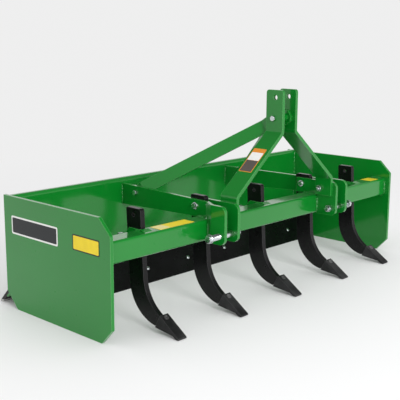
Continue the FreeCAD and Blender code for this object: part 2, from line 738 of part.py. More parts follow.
def build():
    parts = {}
    for name, sign in SIDES:
        parts["end_plate_" + name] = end_plate(sign)
    parts["moldboard"] = moldboard()
    parts["rear_edge_carrier"] = rear_carrier()
    parts["cutting_edge_front"] = front_edge()
    parts["cutting_edge_rear"] = rear_edge()
    parts["tool_bar"] = tool_bar()
    for number, x, kind in SHANKS:
        blank = shank(x)
        parts["shank_%d" % number] = blank
        parts["point_%d" % number] = point(x, blank)
        parts["pocket_%d" % number] = pocket(x, kind)
        if kind == "open":
            parts["set_bolt_%d" % number] = set_bolt(x)

    # Clamp bolt of shank 2, from outside through the left arm
    side = INNER_SHANK_X + SHANK_T / 2 + SET_BOLT_PLAY
    clamp_y = stem_rear(CLAMP_BOLT_Z) - CLAMP_BOLT_BACK
    seat = arm_x(clamp_y)
    turn = math.radians(arm_turn())
    tip = side + (BOLT_R + (seat - side) * math.sin(turn)) * math.sin(turn)
    outer = square_to_arm(clamp_bolt(seat, tip, clamp_y, CLAMP_BOLT_Z), clamp_y)
    parts["set_bolt_2"] = mirrored(outer)
    arm_hole = square_to_arm(rod_x(BOLT_R, tip - ARM_T, seat + ARM_T, clamp_y, CLAMP_BOLT_Z),
                             clamp_y)

    # Clamp bolt of shank 4, from inside through the right inner plate
    near = INNER_SHANK_X - SHANK_T / 2 - SET_BOLT_PLAY
    parts["set_bolt_4"] = clamp_bolt(INNER_PLATE_X, near, clamp_y, CLAMP_BOLT_Z)
    plate_hole = rod_x(BOLT_R, INNER_PLATE_X - OVER, near + OVER, clamp_y, CLAMP_BOLT_Z)

    outer_x = arm_x(BRACE_LOW_Y)
    brace_bolt = bolt(outer_x, outer_x - ARM_T - BRACE_T, BRACE_LOW_Y, BRACE_LOW_Z)
    brace_bolt = square_to_arm(brace_bolt, BRACE_LOW_Y)
    brace_hole = square_to_arm(rod_x(BOLT_R, outer_x - 4 * ARM_T, outer_x + ARM_T, BRACE_LOW_Y, BRACE_LOW_Z),
                               BRACE_LOW_Y)
    arm_shape = arm().cut(brace_hole)
    plate_shape = inner_plate()
    right = {
        "hitch_pin": hitch_pin(),
        "mast_strap": mast_strap(),
        "brace": brace(arm_shape).cut(brace_bolt),
        "brace_bolt": brace_bolt,
        "strap_bolt": bolt(INNER_PLATE_X + INNER_PLATE_T, INNER_PLATE_X - STRAP_T,
                           STRAP_BOLT_Y, STRAP_BOLT_Z),
    }
    for name, shape in right.items():
        parts[name + "_right"] = shape
        parts[name + "_left"] = mirrored(shape)
    parts["hitch_arm_right"] = arm_shape
    parts["hitch_arm_left"] = mirrored(arm_shape.cut(arm_hole))
    parts["hitch_plate_right"] = plate_shape.cut(plate_hole)
    parts["hitch_plate_left"] = mirrored(plate_shape)
    ear = MAST_GAP / 2 + STRAP_T
    parts["mast_bolt"] = bolt(-ear, ear, BRACE_TOP_Y, BRACE_TOP_Z)
    parts["mast_spacer"] = mast_spacer()
    return parts


def main():
    os.makedirs("parts", exist_ok=True)
    for name, shape in build().items():
        shape.exportStep("parts/" + name + ".step")


main()
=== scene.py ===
import json
import math

import bpy
from mathutils import Matrix, Vector

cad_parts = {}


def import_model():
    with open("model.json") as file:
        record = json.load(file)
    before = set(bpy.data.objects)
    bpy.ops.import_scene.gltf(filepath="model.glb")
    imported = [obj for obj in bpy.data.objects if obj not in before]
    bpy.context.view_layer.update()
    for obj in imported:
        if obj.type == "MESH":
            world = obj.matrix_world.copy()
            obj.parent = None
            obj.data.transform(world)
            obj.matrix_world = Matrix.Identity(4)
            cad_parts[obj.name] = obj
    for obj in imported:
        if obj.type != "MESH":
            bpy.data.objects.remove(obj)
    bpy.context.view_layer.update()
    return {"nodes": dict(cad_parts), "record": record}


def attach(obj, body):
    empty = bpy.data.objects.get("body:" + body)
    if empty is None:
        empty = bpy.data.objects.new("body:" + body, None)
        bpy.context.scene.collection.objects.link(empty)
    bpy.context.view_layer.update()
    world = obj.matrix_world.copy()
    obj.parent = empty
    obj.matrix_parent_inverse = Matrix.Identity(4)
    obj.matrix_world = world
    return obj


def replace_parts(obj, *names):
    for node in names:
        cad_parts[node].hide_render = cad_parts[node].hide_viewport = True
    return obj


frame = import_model()
nodes = frame["nodes"]

X, Y, Z = range(3)
SIDES = (-1, 1)
FRAME_BODY = "blade_frame"


def node_box(name):
    """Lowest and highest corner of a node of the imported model, to a thousandth of a millimetre."""
    corners = [nodes[name].matrix_world @ Vector(corner) for corner in nodes[name].bound_box]
    low = [round(min(corner[i] for corner in corners), 6) for i in (X, Y, Z)]
    high = [round(max(corner[i] for corner in corners), 6) for i in (X, Y, Z)]
    return low, high


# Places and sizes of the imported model, in metres

bar_low, bar_high = node_box("tool_bar")
inner_low, inner_high = node_box("hitch_plate_right")
plate_low, plate_high = node_box("end_plate_right")
lower_link = [m for m in frame["record"]["mounts"] if m["name"] == "lower_link_right"][0]
INNER_X = plate_low[X]
PLATE_X = plate_high[X]
BAR_FRONT = bar_low[Y]
BAR_REAR = bar_high[Y]
BAR_TOP = bar_high[Z]
BAR_BOTTOM = bar_low[Z]
INNER_PLATE_IN = inner_low[X]
INNER_PLATE_OUT = inner_high[X]
ARM_TOP = node_box("hitch_arm_right")[1][Z]
ARM_REAR_BOTTOM = 0.314
ARM_REAR_X = 0.315
ARM_T = 0.012
MB_FACE = 0.271
PIN_Y = lower_link["pos_m"][Y]
PIN_Z = lower_link["pos_m"][Z]
PIN_R = lower_link["dims"]["r_mm"] / 1000
# Middle of each shank, by its number
SHANK_X = {n: sum(corner[X] for corner in node_box("shank_%d" % n)) / 2 for n in range(1, 6)}


# Materials


def new_material(name):
    mat = bpy.data.materials.new(name)
    mat.use_nodes = True
    tree = mat.node_tree
    return mat, tree, tree.nodes["Principled BSDF"]


def noise(tree, coords, scale, detail=2.0, rough=0.5):
    node = tree.nodes.new("ShaderNodeTexNoise")
    node.inputs["Scale"].default_value = scale
    node.inputs["Detail"].default_value = detail
    node.inputs["Roughness"].default_value = rough
    tree.links.new(coords, node.inputs["Vector"])
    return node.outputs["Fac"]


def ranged(tree, value, low, high, to_low, to_high):
    node = tree.nodes.new("ShaderNodeMapRange")
    node.inputs["From Min"].default_value = low
    node.inputs["From Max"].default_value = high
    node.inputs["To Min"].default_value = to_low
    node.inputs["To Max"].default_value = to_high
    tree.links.new(value, node.inputs["Value"])
    return node.outputs["Result"]


def mixed(tree, factor, first, second):
    node = tree.nodes.new("ShaderNodeMix")
    node.data_type = "RGBA"
    tree.links.new(factor, node.inputs["Factor"])
    for key, value in (("A", first), ("B", second)):
        socket = [s for s in node.inputs if s.name == key and s.type == "RGBA"][0]
        if isinstance(value, tuple):
            socket.default_value = (*value, 1)
        else:
            tree.links.new(value, socket)
    return [s for s in node.outputs if s.type == "RGBA"][0]


def object_coords(tree):
    return tree.nodes.new("ShaderNodeTexCoord").outputs["Object"]


# Cosine of the turn at which a place counts as flat, and as an edge
FLAT_TURN = 0.995
EDGE_TURN = 0.80


def edge_mask(tree, radius):
    """Rounded normal, and white on edges, from how far that normal turns from the flat one."""
    bevel = tree.nodes.new("ShaderNodeBevel")
    bevel.samples = 6
    bevel.inputs["Radius"].default_value = radius
    geometry = tree.nodes.new("ShaderNodeNewGeometry")
    dot = tree.nodes.new("ShaderNodeVectorMath")
    dot.operation = "DOT_PRODUCT"
    tree.links.new(bevel.outputs["Normal"], dot.inputs[0])
    tree.links.new(geometry.outputs["Normal"], dot.inputs[1])
    return bevel.outputs["Normal"], ranged(tree, dot.outputs["Value"], FLAT_TURN, EDGE_TURN, 0, 1)


def bumped(tree, normal, heights):
    """Bumps on top of one another; heights holds (height socket, distance in metres)."""
    for height, distance in heights:
        bump = tree.nodes.new("ShaderNodeBump")
        bump.inputs["Distance"].default_value = distance
        bump.inputs["Strength"].default_value = 1.0
        tree.links.new(height, bump.inputs["Height"])
        if normal is not None:
            tree.links.new(normal, bump.inputs["Normal"])
        normal = bump.outputs["Normal"]
    return normal


DEEP_GREEN = (0.0016, 0.178, 0.0145)
LIGHT_GREEN = (0.0024, 0.205, 0.0185)
# Pale green of the painted highlight on the edges of the green paint
EDGE_HIGHLIGHT_GREEN = (0.17, 0.60, 0.18)
# Grey of the painted highlight on the edges of the black paints
EDGE_HIGHLIGHT_BLACK = (0.080, 0.080, 0.083)
BARE_STEEL = (0.48, 0.48, 0.47)
# Height up to which the rear edge is ground bare
BARE_TOP = 0.0105


def green_paint():
    """Glossy paint, a little uneven, with a painted highlight of paler green on the edges."""
    mat, tree, shader = new_material("green_powder_coat")
    coords = object_coords(tree)
    broad = noise(tree, coords, 2.2, 3)
    base = mixed(tree, ranged(tree, broad, 0.3, 0.7, 0, 1), DEEP_GREEN, LIGHT_GREEN)
    rounded, edges = edge_mask(tree, 0.0016)
    # Painted highlight: the edges are mixed towards a pale green, as where light catches them.
    lit = mixed(tree, edges, base, EDGE_HIGHLIGHT_GREEN)
    tree.links.new(lit, shader.inputs["Base Color"])
    peel = noise(tree, coords, 420, 2)
    patches = noise(tree, coords, 60, 3)
    tree.links.new(ranged(tree, patches, 0.2, 0.8, 0.26, 0.36), shader.inputs["Roughness"])
    shader.inputs["Specular IOR Level"].default_value = 0.10
    shader.inputs["Coat Weight"].default_value = 1.0
    shader.inputs["Coat Roughness"].default_value = 0.10
    tree.links.new(bumped(tree, rounded, [(peel, 0.000012)]), shader.inputs["Normal"])
    return mat


def black_paint(name, dark, light, rough, grain):
    """Cloudy black between two tones, with a painted highlight of lighter grey on the edges; grain is the
    height of its finest bumps.
    """
    mat, tree, shader = new_material(name)
    coords = object_coords(tree)
    cloud = noise(tree, coords, 14, 4)
    base = mixed(tree, ranged(tree, cloud, 0.35, 0.7, 0, 1), dark, light)
    rounded, edges = edge_mask(tree, 0.0020)
    # Painted highlight: the edges are mixed towards a lighter grey.
    tree.links.new(mixed(tree, edges, base, EDGE_HIGHLIGHT_BLACK), shader.inputs["Base Color"])
    shader.inputs["Specular IOR Level"].default_value = 0.18
    shader.inputs["Coat Weight"].default_value = 0.14
    shader.inputs["Coat Roughness"].default_value = 0.14
    patches = noise(tree, coords, 45, 3)
    uneven = ranged(tree, patches, 0.25, 0.75, rough - 0.06, rough + 0.08)
    tree.links.new(uneven, shader.inputs["Roughness"])
    fine = noise(tree, coords, 650, 3)
    coarse = noise(tree, coords, 90, 3)
    tree.links.new(bumped(tree, rounded, [(fine, grain), (coarse, grain * 2.5)]), shader.inputs["Normal"])
    return mat


def ground_edge():
    """Black paint with a strip of bare ground steel along the bottom bevel."""
    mat = black_paint("black_edge_ground", (0.006, 0.006, 0.0065), (0.012, 0.012, 0.013), 0.36, 0.000008)
    tree = mat.node_tree
    shader = tree.nodes["Principled BSDF"]
    coords = object_coords(tree)
    parts = tree.nodes.new("ShaderNodeSeparateXYZ")
    tree.links.new(coords, parts.inputs[0])
    wave = tree.nodes.new("ShaderNodeMath")
    wave.operation = "ADD"
    tree.links.new(parts.outputs["Z"], wave.inputs[0])
    tree.links.new(ranged(tree, noise(tree, coords, 30, 3), 0.3, 0.7, -0.0007, 0.0007), wave.inputs[1])
    mask = ranged(tree, wave.outputs[0], BARE_TOP, BARE_TOP - 0.0015, 0, 1)
    old = shader.inputs["Base Color"].links[0].from_socket
    tree.links.new(mixed(tree, mask, old, BARE_STEEL), shader.inputs["Base Color"])
    metal = ranged(tree, mask, 0, 1, 0, 0.8)
    tree.links.new(metal, shader.inputs["Metallic"])
    return mat


def zinc():
    """Bright plating with faint patches."""
    mat, tree, shader = new_material("zinc_plate")
    coords = object_coords(tree)
    patches = noise(tree, coords, 55, 4)
    base = mixed(tree, ranged(tree, patches, 0.3, 0.7, 0, 1), (0.56, 0.61, 0.63), (0.74, 0.78, 0.79))
    rounded = edge_mask(tree, 0.0010)[0]
    tree.links.new(base, shader.inputs["Base Color"])
    shader.inputs["Metallic"].default_value = 1.0
    wiped = noise(tree, coords, 120, 3)
    tree.links.new(ranged(tree, wiped, 0.25, 0.75, 0.18, 0.34), shader.inputs["Roughness"])
    fine = noise(tree, coords, 900, 2)
    tree.links.new(bumped(tree, rounded, [(fine, 0.000012)]), shader.inputs["Normal"])
    return mat


def vinyl(name, color):
    """Plain sticker film, a little uneven in tone."""
    mat, tree, shader = new_material(name)
    coords = object_coords(tree)
    worn = noise(tree, coords, 35, 3)
    darker = tuple(c * 0.9 for c in color)
    tone = mixed(tree, ranged(tree, worn, 0.35, 0.75, 0, 1), color, darker)
    tree.links.new(tone, shader.inputs["Base Color"])
    smooth = noise(tree, coords, 80, 2)
    tree.links.new(ranged(tree, smooth, 0.3, 0.7, 0.28, 0.36), shader.inputs["Roughness"])
    shader.inputs["Specular IOR Level"].default_value = 0.25
    tree.links.new(bumped(tree, None, [(noise(tree, coords, 260, 2), 0.000006)]), shader.inputs["Normal"])
    return mat


GREEN = green_paint()
BLACK = black_paint("black_semi_gloss", (0.0030, 0.0030, 0.0032), (0.0065, 0.0065, 0.0070), 0.30,
                    0.000008)
CAST = black_paint("black_forged", (0.008, 0.008, 0.0085), (0.040, 0.040, 0.041), 0.36, 0.00010)
# Paler black, used on the plough bolts of the points
PALE_BLACK = black_paint("black_pale", (0.05, 0.05, 0.05), (0.12, 0.12, 0.12), 0.34, 0.00004)
GROUND = ground_edge()
ZINC = zinc()
FILM = {
    "dark": vinyl("film_dark", (0.022, 0.024, 0.026)),
    "white": vinyl("film_white", (0.82, 0.82, 0.80)),
    "yellow": vinyl("film_yellow", (0.86, 0.66, 0.03)),
    "cream": vinyl("film_cream", (0.84, 0.72, 0.30)),
    "orange": vinyl("film_orange", (0.72, 0.26, 0.03)),
    "grey": vinyl("film_grey", (0.10, 0.085, 0.075)),
}

SLOT_LOOKS = {"green_paint": GREEN, "black_steel": BLACK, "zinc": ZINC}
for entry in frame["record"]["subparts"]:
    node = nodes[entry["node"]]
    look = SLOT_LOOKS[entry["material_slot"]]
    if entry["node"].startswith("point_"):
        look = CAST
    if entry["node"] == "cutting_edge_rear":
        look = GROUND
    node.data.materials.clear()
    node.data.materials.append(look)


# Pieces


def add_mesh(name, verts, faces, look, body=FRAME_BODY, smooth=True):
    mesh = bpy.data.meshes.new(name)
    mesh.from_pydata([tuple(v) for v in verts], [], faces)
    mesh.update()
    mesh.materials.append(look)
    obj = bpy.data.objects.new(name, mesh)
    bpy.context.scene.collection.objects.link(obj)
    for poly in mesh.polygons:
        poly.use_smooth = smooth
    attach(obj, body)
    return obj


BEAD_STEP = 0.0012
BEAD_PITCH = 0.0068
BEAD_SIDES = 10


def bead_rings(start, end, radius):
    """Rings of a weld bead from start to end, with the ripples of its passes."""
    start = Vector(start)
    end = Vector(end)
    way = (end - start).normalized()
    side = way.orthogonal().normalized()
    other = way.cross(side)
    length = (end - start).length
    count = max(4, int(length / BEAD_STEP))
    rings = []
    for i in range(count + 1):
        t = length * i / count
        passes = t / BEAD_PITCH
        swell = 1 + 0.14 * math.sin(math.pi * passes) ** 2 + 0.10 * math.sin(2.3 * passes + 1)
        fade = min(1.0, (0.25 + t / radius * 0.5), (0.25 + (length - t) / radius * 0.5))
        r = radius * swell * fade
        ring = []
        for k in range(BEAD_SIDES):
            a = 2 * math.pi * k / BEAD_SIDES
            lag = 0.4 * radius * math.cos(a)
            ring.append(start + way * (t + lag) + side * (r * math.cos(a)) + other * (r * math.sin(a)))
        rings.append(ring)
    return rings


def weld(name, runs, radius):
    """Weld beads along straight runs, all in one piece."""
    n = BEAD_SIDES
    verts = []
    faces = []
    for start, end in runs:
        rings = bead_rings(start, end, radius)
        first = len(verts)
        last = first + (len(rings) - 1) * n
        for ring in rings:
            verts.extend(ring)
        for row in range(first, last, n):
            for k in range(n):
                a = row + k
                b = row + (k + 1) % n
                faces.append((a, b, b + n, a + n))
        faces.append(tuple(range(first + n - 1, first - 1, -1)))
        faces.append(tuple(range(last, last + n)))
    return add_mesh(name, verts, faces, GREEN)


def lathe(name, profile, origin, axis, look, body=FRAME_BODY, segments=28):
    """Turned piece: profile holds (height along the axis, radius)."""
    axis = Vector(axis).normalized()
    side = axis.orthogonal().normalized()
    other = axis.cross(side)
    origin = Vector(origin)
    verts = []
    for height, radius in profile:
        for k in range(segments):
            a = 2 * math.pi * k / segments
            round_part = side * (radius * math.cos(a)) + other * (radius * math.sin(a))
            verts.append(origin + axis * height + round_part)
    faces = []
    for i in range(len(profile) - 1):
        for k in range(segments):
            a = i * segments + k
            b = i * segments + (k + 1) % segments
            faces.append((a, b, b + segments, a + segments))
    faces.append(tuple(range(segments - 1, -1, -1)))
    faces.append(tuple(range((len(profile) - 1) * segments, len(profile) * segments)))
    return add_mesh(name, verts, faces, look, body)


def sticker(name, corner, along, up, width, height, film, lift, radius=0.003):
    """Thin film with rounded corners on a flat face. corner is its lower left."""
    along = Vector(along).normalized()
    up = Vector(up).normalized()
    out = along.cross(up)
    corner = Vector(corner)
    outline = []
    for cx, cy, a0 in ((width - radius, radius, -90), (width - radius, height - radius, 0),
                       (radius, height - radius, 90), (radius, radius, 180)):
        for k in range(7):
            a = math.radians(a0 + 15 * k)
            outline.append((cx + radius * math.cos(a), cy + radius * math.sin(a)))
    verts = []
    for level in (0, lift):
        verts.extend(corner + along * u + up * v + out * level for u, v in outline)
    n = len(outline)
    faces = [tuple(range(n, 2 * n)), tuple(range(n - 1, -1, -1))]
    for k in range(n):
        j = (k + 1) % n
        faces.append((k, j, n + j, n + k))
    return add_mesh(name, verts, faces, FILM[film], smooth=False)


# Weld beads

BAR_BEAD = 0.0052
ARM_BEAD = 0.0038
MOLDBOARD_BEAD = 0.0036
HITCH_BEAD = 0.0056
POCKET_BEAD = 0.0038
BAR_CORNER = 0.008
ARM_SEAM_INSET = 0.003
MOLDBOARD_SEAM_BOTTOM = 0.155
MOLDBOARD_SEAM_TOP = 0.412
BAR_FACE_INSETS = (0.004, 0.006)
# Faces of an arm where it crosses the front of the bar
ARM_FACES_AT_BAR = (0.351, 0.3635)
# Seams on top of the bar, each from (x, y) to (x, y): beside the arm's joggle,
# beside the arm behind it, and beside the inner plate
TOP_SEAMS = (
    ((0.361, -0.244), (0.3485, -0.222)),
    ((0.3485, -0.220), (0.345, -0.176)),
    ((0.2965, -0.240), (0.2965, -0.176)),
)
# Pockets of shanks 1, 3 and 5, which open through the top of the bar
OPEN_POCKETS = (1, 3, 5)
POCKET_HALF = 0.016
POCKET_FRONT = -0.2035
POCKET_REAR = -0.1765
POCKET_GAP_HALF = 0.010


def bar_end_runs(x):
    """Seams round the square bar where it meets an end plate."""
    c = BAR_CORNER
    return [
        ((x, BAR_FRONT, BAR_BOTTOM + c), (x, BAR_FRONT, BAR_TOP - c)),
        ((x, BAR_FRONT + c, BAR_TOP), (x, BAR_REAR - c, BAR_TOP)),
        ((x, BAR_REAR, BAR_TOP - c), (x, BAR_REAR, BAR_BOTTOM + c)),
        ((x, BAR_REAR - c, BAR_BOTTOM), (x, BAR_FRONT + c, BAR_BOTTOM)),
    ]


def arm_rear_runs(side):
    """Seams on both faces of an arm where it meets the moldboard."""
    low = ARM_REAR_BOTTOM + ARM_SEAM_INSET
    high = ARM_TOP - ARM_SEAM_INSET
    faces = (side * ARM_REAR_X, side * (ARM_REAR_X - ARM_T))
    return [((x, MB_FACE, low), (x, MB_FACE, high)) for x in faces]


def moldboard_end_runs(side):
    x = side * INNER_X
    return [((x, MB_FACE, MOLDBOARD_SEAM_BOTTOM), (x, MB_FACE, MOLDBOARD_SEAM_TOP))]


def hitch_runs(side):
    """Seams of an inner plate and an arm on the front and the top of the bar."""
    low = BAR_BOTTOM + BAR_FACE_INSETS[0]
    high = BAR_TOP - BAR_FACE_INSETS[1]
    runs = []
    for face in (INNER_PLATE_IN, INNER_PLATE_OUT) + ARM_FACES_AT_BAR:
        runs.append(((side * face, BAR_FRONT, low), (side * face, BAR_FRONT, high)))
    for (x0, y0), (x1, y1) in TOP_SEAMS:
        runs.append(((side * x0, y0, BAR_TOP), (side * x1, y1, BAR_TOP)))
    return runs


def pocket_runs(x):
    """Seams round a stem's pocket on top of the bar."""
    runs = []
    for s in SIDES:
        edge = x + s * POCKET_HALF
        runs.append(((edge, POCKET_FRONT + 0.003, BAR_TOP), (edge, POCKET_REAR, BAR_TOP)))
    y = POCKET_FRONT - 0.001
    runs.append(((x - POCKET_HALF, y, BAR_TOP), (x - POCKET_GAP_HALF, y, BAR_TOP)))
    runs.append(((x + POCKET_GAP_HALF, y, BAR_TOP), (x + POCKET_HALF, y, BAR_TOP)))
    return runs


weld("weld_bar_ends", [run for s in SIDES for run in bar_end_runs(s * INNER_X)], BAR_BEAD)
weld("weld_arm_rear", [run for s in SIDES for run in arm_rear_runs(s)], ARM_BEAD)
weld("weld_moldboard_ends", [run for s in SIDES for run in moldboard_end_runs(s)], MOLDBOARD_BEAD)
weld("weld_hitch_plates", [run for s in SIDES for run in hitch_runs(s)], HITCH_BEAD)
weld("weld_pockets", [run for n in OPEN_POCKETS for run in pocket_runs(SHANK_X[n])], POCKET_BEAD)


# Sloping lips in front of the open pockets

LIP_FRONT = -0.2285
LIP_CREST = -0.2065
LIP_REAR = -0.2025
LIP_RISE = 0.0060
LIP_HALF = 0.0175
LIP_ROUNDING = 0.0014


def sloped_lip(name, x):
    """Plate welded on the bar in front of a stem, with a sloping front."""
    crest = BAR_TOP + LIP_RISE
    profile = [(LIP_FRONT, BAR_TOP), (LIP_CREST, crest), (LIP_REAR, crest), (LIP_REAR, BAR_TOP)]
    verts = [(x + s * LIP_HALF, y, z) for s in SIDES for y, z in profile]
    faces = [(0, 1, 2, 3), (7, 6, 5, 4)]
    for i in range(4):
        j = (i + 1) % 4
        faces.append((i, i + 4, j + 4, j))
    obj = add_mesh(name, verts, faces, GREEN, smooth=False)
    rounding = obj.modifiers.new("rounding", "BEVEL")
    rounding.width = LIP_ROUNDING
    rounding.segments = 3
    rounding.limit_method = "ANGLE"


for number in OPEN_POCKETS:
    sloped_lip("pocket_lip_%d" % number, SHANK_X[number])


# Fasteners

HEX_SEGMENTS = 48
HEX_CHAMFER = math.tan(math.radians(28))
HEX_FLAT_SHARE = 0.475
SEAT_RISE = 0.0004
# Half-inch bolts: radius, width across flats, and heights of head, nut and bare end
BOLT_R = 0.00635
BOLT_ACROSS = 0.019
BOLT_HEAD_T = 0.008
BOLT_NUT_T = 0.011
BOLT_END = 0.005
BOLT_PITCH = 0.0018


def hex_rim(across, angle):
    """Distance from the middle of a hexagon to its side, at an angle."""
    part = (angle + math.pi / 6) % (math.pi / 3) - math.pi / 6
    return across / 2 / math.cos(part)


def hex_block(name, base, axis, across, height, turn, both=False):
    """Hexagonal head or nut whose corners are chamfered, at both ends if asked."""
    axis = Vector(axis).normalized()
    side = Vector((0, 0, 1))
    side = (side - axis * side.dot(axis)).normalized()
    other = axis.cross(side)
    base = Vector(base)
    flat = across * HEX_FLAT_SHARE
    count = HEX_SEGMENTS
    rings = []
    for level in range(4):
        ring = []
        for k in range(count):
            a = 2 * math.pi * k / count
            rim = hex_rim(across, a + turn)
            cut = max(0.0, rim - flat) * HEX_CHAMFER
            if level == 0:
                r = flat if both else rim
                z = 0.0
            elif level == 1:
                r = rim
                z = cut if both else SEAT_RISE
            elif level == 2:
                r = rim
                z = height - cut
            else:
                r = flat
                z = height
            ring.append(base + axis * z + (side * math.cos(a) + other * math.sin(a)) * r)
        rings.append(ring)
    verts = [v for ring in rings for v in ring]
    faces = []
    for i in range(3):
        for k in range(count):
            j = (k + 1) % count
            faces.append((i * count + k, i * count + j, (i + 1) * count + j, (i + 1) * count + k))
    faces.append(tuple(range(count - 1, -1, -1)))
    faces.append(tuple(range(3 * count, 4 * count)))
    return add_mesh(name, verts, faces, ZINC, smooth=False)


def threaded(name, base, axis, radius, length, pitch):
    """Exposed end of a bolt: thread ridges and a chamfered tip."""
    profile = [(0, radius - pitch * 0.3)]
    for i in range(int(length / pitch)):
        z = i * pitch
        profile.append((z + pitch * 0.5, radius))
        profile.append((z + pitch, radius - pitch * 0.55))
    profile.append((length, radius - pitch * 0.9))
    return lathe(name, profile, base, axis, ZINC, segments=32)


def rod(name, start, end, radius):
    start = Vector(start)
    end = Vector(end)
    length = (end - start).length
    return lathe(name, [(0, radius), (length, radius)], start, end - start, ZINC, segments=32)


def washer(name, base, axis, radius, thick):
    c = thick * 0.25
    profile = [(0, radius - c), (c, radius), (thick - c, radius), (thick, radius - c)]
    return lathe(name, profile, base, axis, ZINC, segments=40)


def bolt_set(node, head, nut, across=BOLT_ACROSS, head_t=BOLT_HEAD_T, nut_t=BOLT_NUT_T, end=BOLT_END):
    """Bolt between two seats: head beyond the first, nut beyond the second."""
    head = Vector(head)
    nut = Vector(nut)
    way = (head - nut).normalized()
    nut_end = nut - way * nut_t
    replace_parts(rod(node + "_shaft", nut_end, head, BOLT_R), node)
    hex_block(node + "_head", head, way, across, head_t, 0.3)
    hex_block(node + "_nut", nut, -way, across, nut_t, 1.1, both=True)
    threaded(node + "_thread", nut_end, -way, BOLT_R, end, BOLT_PITCH)


# Lower hitch pins, each from the inner plate to its head outside the arm

PIN_SEAT_X = 0.421
PIN_CHAMFER = 0.0005
PIN_LENGTH = 0.1245
PIN_WASHER_R = 0.0160
PIN_WASHER_T = 0.0035
PIN_ACROSS = 0.0255
PIN_HEAD_T = 0.012
PIN_NUT_T = 0.016
PIN_END_R = 0.010
PIN_END = 0.010
PIN_PITCH = 0.002

for side, s in (("left", -1), ("right", 1)):
    node = "hitch_pin_" + side
    seat = Vector((s * PIN_SEAT_X, PIN_Y, PIN_Z))
    inner = Vector((s * INNER_PLATE_IN, PIN_Y, PIN_Z))
    way = Vector((s, 0, 0))
    profile = [(0, PIN_R - PIN_CHAMFER), (0.0008, PIN_R), (PIN_LENGTH, PIN_R)]
    shaft = lathe(node + "_shaft", profile, inner, way, ZINC, segments=40)
    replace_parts(shaft, node)
    washer(node + "_washer", seat, way, PIN_WASHER_R, PIN_WASHER_T)
    hex_block(node + "_head", seat + way * PIN_WASHER_T, way, PIN_ACROSS, PIN_HEAD_T, 0.25)
    hex_block(node + "_nut", inner, -way, PIN_ACROSS, PIN_NUT_T, 0.9, both=True)
    threaded(node + "_thread", inner - way * PIN_NUT_T, -way, PIN_END_R, PIN_END, PIN_PITCH)


# Bolts of the mast, the braces and the inner shanks' clamps

STRAP_BOLT_Y = -0.268
STRAP_BOLT_Z = 0.3695
STRAP_BOLT_NUT_X = 0.2838
STRAP_BOLT_ACROSS = 0.0225
MAST_BOLT_X = 0.0457
MAST_BOLT_Y = -0.279
MAST_BOLT_Z = 0.678
BRACE_BOLT_SEAT = (0.3207, 0.186, 0.371)
BRACE_BOLT_GRIP = 0.022
CLAMP_Y = -0.16325
CLAMP_Z = 0.374
CLAMP_SEAT_LEFT = -0.34413
CLAMP_REACH_LEFT = 0.01483
CLAMP_REACH_RIGHT = 0.0127
CLAMP_WASHER_R = 0.013
CLAMP_WASHER_T = 0.0025
# Direction square to the outer face of the right arm
SPLAY = Vector((0.99776, 0.06692, 0))

for side, s in (("left", -1), ("right", 1)):
    head = (s * INNER_PLATE_OUT, STRAP_BOLT_Y, STRAP_BOLT_Z)
    nut = (s * STRAP_BOLT_NUT_X, STRAP_BOLT_Y, STRAP_BOLT_Z)
    bolt_set("strap_bolt_" + side, head, nut, STRAP_BOLT_ACROSS, 0.009, 0.012, 0.006)
bolt_set("mast_bolt", (-MAST_BOLT_X, MAST_BOLT_Y, MAST_BOLT_Z), (MAST_BOLT_X, MAST_BOLT_Y, MAST_BOLT_Z))

for side, s in (("left", -1), ("right", 1)):
    out = Vector((s * SPLAY.x, SPLAY.y, 0))
    seat_x, seat_y, seat_z = BRACE_BOLT_SEAT
    seat = Vector((s * seat_x, seat_y, seat_z))
    bolt_set("brace_bolt_" + side, seat, seat - out * BRACE_BOLT_GRIP)


def clamp_set(node, seat, way, reach):
    """Clamp bolt with a washer: its shaft reaches in to just off the stem."""
    seat = Vector(seat)
    way = Vector(way)
    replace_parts(rod(node + "_shaft", seat - way * reach, seat, BOLT_R), node)
    washer(node + "_washer", seat, way, CLAMP_WASHER_R, CLAMP_WASHER_T)
    hex_block(node + "_head", seat + way * CLAMP_WASHER_T, way, BOLT_ACROSS, BOLT_HEAD_T, 0.5)


clamp_set("set_bolt_2", (CLAMP_SEAT_LEFT, CLAMP_Y, CLAMP_Z), (-SPLAY.x, SPLAY.y, 0), CLAMP_REACH_LEFT)
clamp_set("set_bolt_4", (INNER_PLATE_IN, CLAMP_Y, CLAMP_Z), (-1, 0, 0), CLAMP_REACH_RIGHT)


# Plough bolts that hold the points, as (height, radius): a rim round a sunk middle

POINT_BOLT = [(-0.002, 0.0090), (0.0018, 0.0090), (0.0030, 0.0080), (0.0030, 0.0060), (0.0002, 0.0050)]
POINT_BOLT_Y = -0.3095
POINT_BOLT_Z = 0.0583
POINT_NORMAL = (0, -0.557, 0.831)

for number, x in SHANK_X.items():
    lathe("point_bolt_%d" % number, POINT_BOLT, (x, POINT_BOLT_Y, POINT_BOLT_Z), POINT_NORMAL, PALE_BLACK,
          "shank_%d_body" % number, 24)


# Carriage bolts of the two cutting edges, as (height, radius), with the front ones' nuts behind

DOME = [
    (-0.001, 0.0088),
    (0.0008, 0.0088),
    (0.0026, 0.0078),
    (0.0041, 0.0058),
    (0.0049, 0.0030),
    (0.0052, 0.0006),
]
EDGE_BOLTS = 7
EDGE_BOLT_X = -0.723
EDGE_BOLT_STEP = 0.233
FRONT_EDGE_BOLT = (0.1862, 0.0479)
FRONT_EDGE_NORMAL = Vector((0, -0.76604, 0.64279))
FRONT_EDGE_GRIP = 0.0207
REAR_EDGE_BOLT = (0.3287, 0.0593)
REAR_EDGE_NORMAL = (0, 0.71934, 0.69466)

